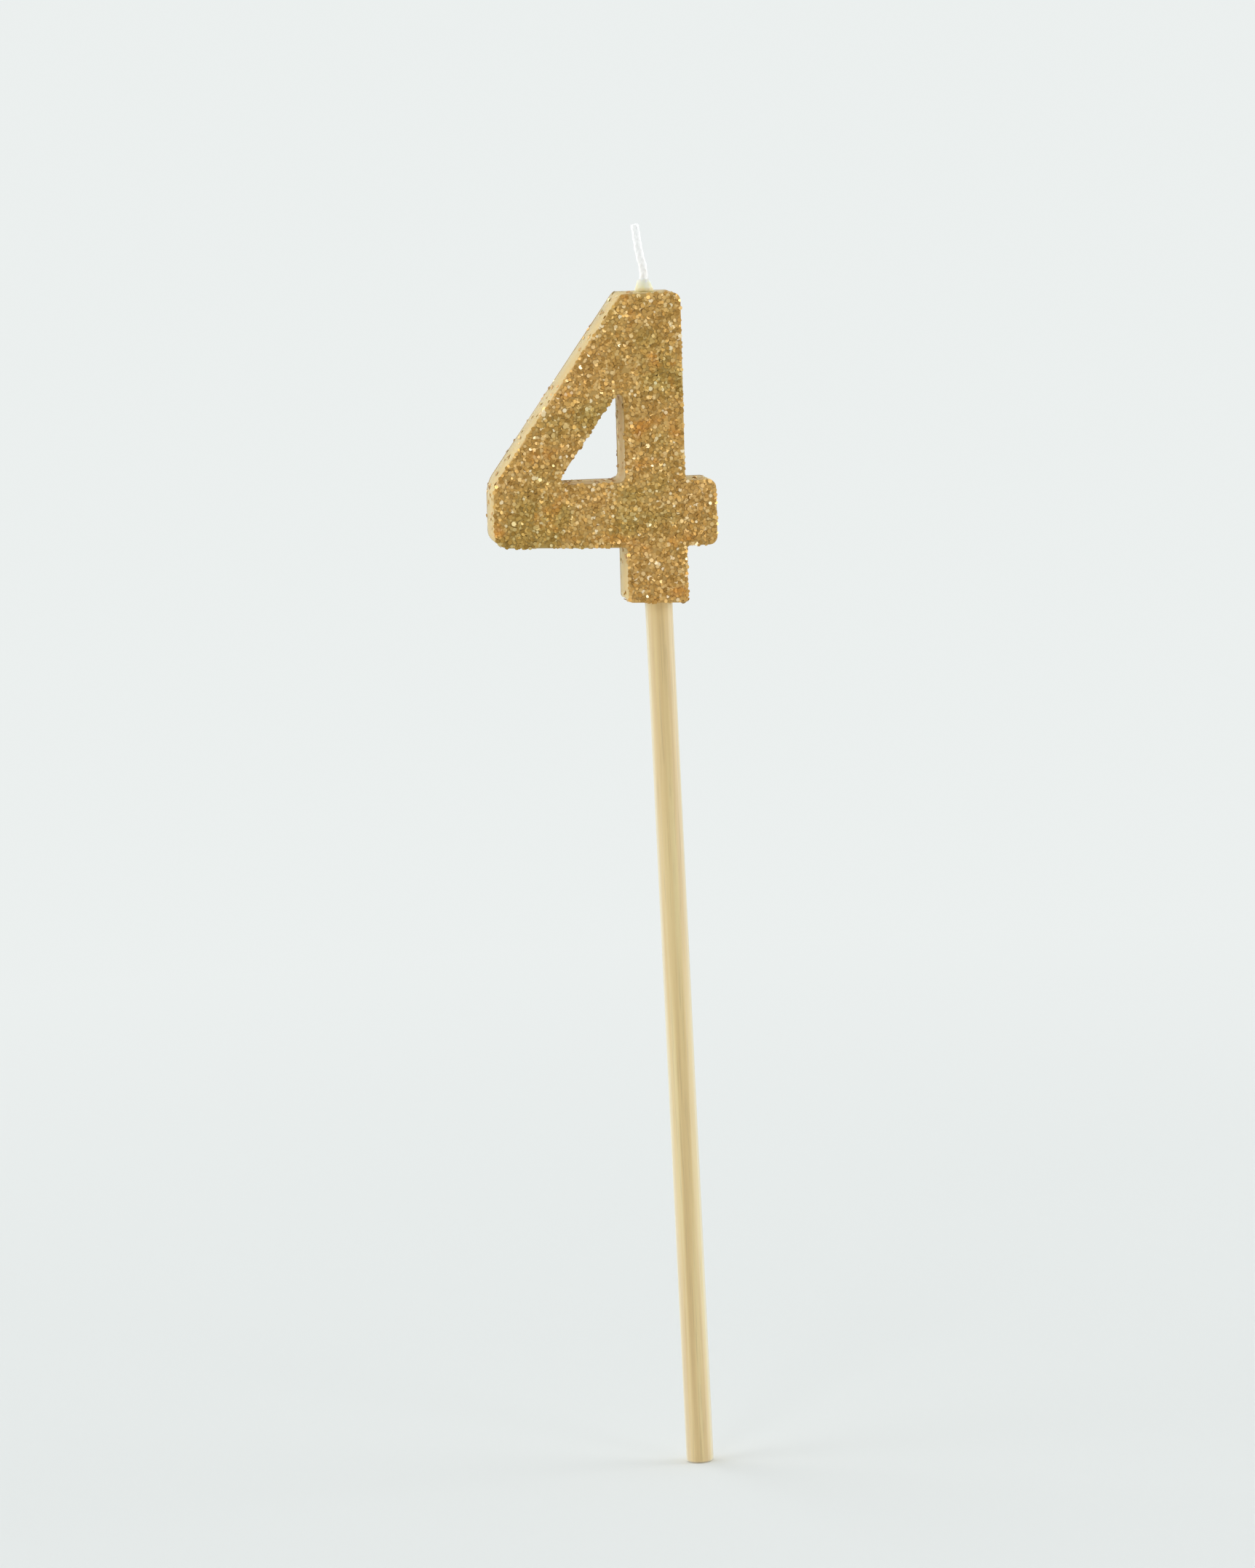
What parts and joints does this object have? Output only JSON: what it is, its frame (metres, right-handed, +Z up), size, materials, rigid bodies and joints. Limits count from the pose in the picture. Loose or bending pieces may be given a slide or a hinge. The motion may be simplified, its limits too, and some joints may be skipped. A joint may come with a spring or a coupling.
{
  "type": "number candle",
  "caption": "Flat glitter-coated wax numeral 4 with a short cotton wick on top, set on a long thin wooden stick that pushes into a cake.",
  "frame": {"origin": "on the stick's axis at its lower end, the end that goes into the cake", "axes": "+Z up the stick towards the numeral and its wick, -Y out of the numeral's front face, +X to the right as the numeral is read"},
  "size_m": [0.0326, 0.009, 0.1829],
  "materials": {
    "wax": "smooth pale gold candle wax with a soft satin gloss",
    "glitter": "coarse gold glitter flakes held in a clear coat, sparkling and rough",
    "cotton": "white braided cotton stiffened with wax",
    "bead_wax": "cream wax drawn up round the wick",
    "bamboo": "plain sanded bamboo with fine lengthwise fibres"
  },
  "bodies": {
    "root": {"wax_numeral": "wax", "front_glitter_coat": "glitter", "back_glitter_coat": "glitter", "wick": "cotton", "wick_bead": "bead_wax", "stick": "bamboo"}
  },
  "joints": []
}
